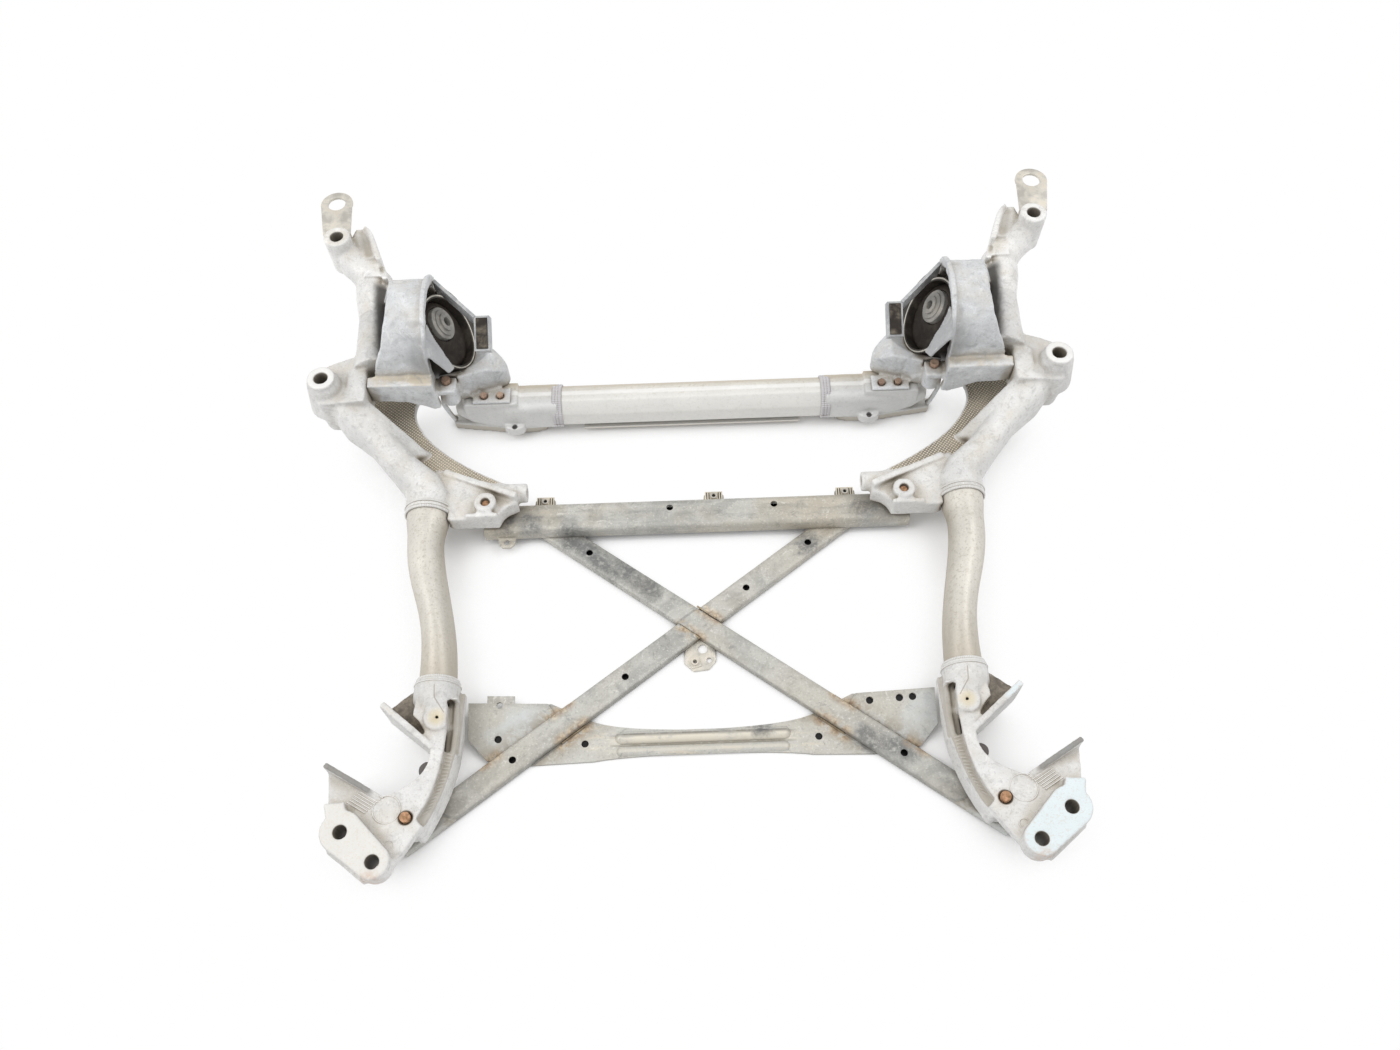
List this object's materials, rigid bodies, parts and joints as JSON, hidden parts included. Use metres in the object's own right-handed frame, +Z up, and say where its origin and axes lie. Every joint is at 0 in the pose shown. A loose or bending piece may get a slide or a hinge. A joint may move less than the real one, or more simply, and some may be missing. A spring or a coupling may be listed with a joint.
{
  "type": "front axle subframe",
  "caption": "Car front axle subframe: cast aluminium corners on welded tubes, with engine mounts and a bolted cross brace of folded steel.",
  "frame": {"origin": "middle of the plan, at the level of the lowest faces", "axes": "+X to the vehicle's right, +Y towards its nose, +Z up"},
  "size_m": [0.922, 0.844, 0.2045],
  "materials": {
    "cast_aluminium": "blasted casting, dusty",
    "tube_aluminium": "satin, dusty",
    "mount_casting": "blasted casting",
    "mount_steel": "dull steel",
    "tab_steel": "dusty zinc plate",
    "zinc_steel": "smudged zinc plate with rust at the welds",
    "rusty_bolt": "rusted",
    "rubber": "matt"
  },
  "bodies": {
    "root": {"front_cross_tube": "tube_aluminium", "left_cross_tube_end": "cast_aluminium", "right_cross_tube_end": "cast_aluminium", "left_front_casting": "cast_aluminium", "right_front_casting": "cast_aluminium", "left_front_horn": "cast_aluminium", "right_front_horn": "cast_aluminium", "left_horn_tube": "tube_aluminium", "right_horn_tube": "tube_aluminium", "left_eye_tab": "tab_steel", "right_eye_tab": "tab_steel", "left_side_tube": "tube_aluminium", "right_side_tube": "tube_aluminium", "left_rear_casting": "cast_aluminium", "right_rear_casting": "cast_aluminium", "left_mount_console": "mount_casting", "right_mount_console": "mount_casting", "left_mount_housing": "mount_casting", "right_mount_housing": "mount_casting", "left_mount_cup": "mount_steel", "right_mount_cup": "mount_steel", "left_mount_rubber": "rubber", "right_mount_rubber": "rubber", "left_mount_core": "mount_steel", "right_mount_core": "mount_steel", "left_stop_strap": "mount_steel", "right_stop_strap": "mount_steel", "left_stop_buffer": "rubber", "right_stop_buffer": "rubber", "brace_front_rail": "zinc_steel", "brace_rear_rail": "zinc_steel", "brace_long_arm": "zinc_steel", "brace_front_half_arm": "zinc_steel", "brace_rear_half_arm": "zinc_steel", "brace_centre_tab": "zinc_steel", "brace_clip_nuts": "zinc_steel", "brace_rear_bolts": "rusty_bolt", "brace_front_bolts": "rusty_bolt", "console_bolts": "rusty_bolt"}
  },
  "joints": []
}
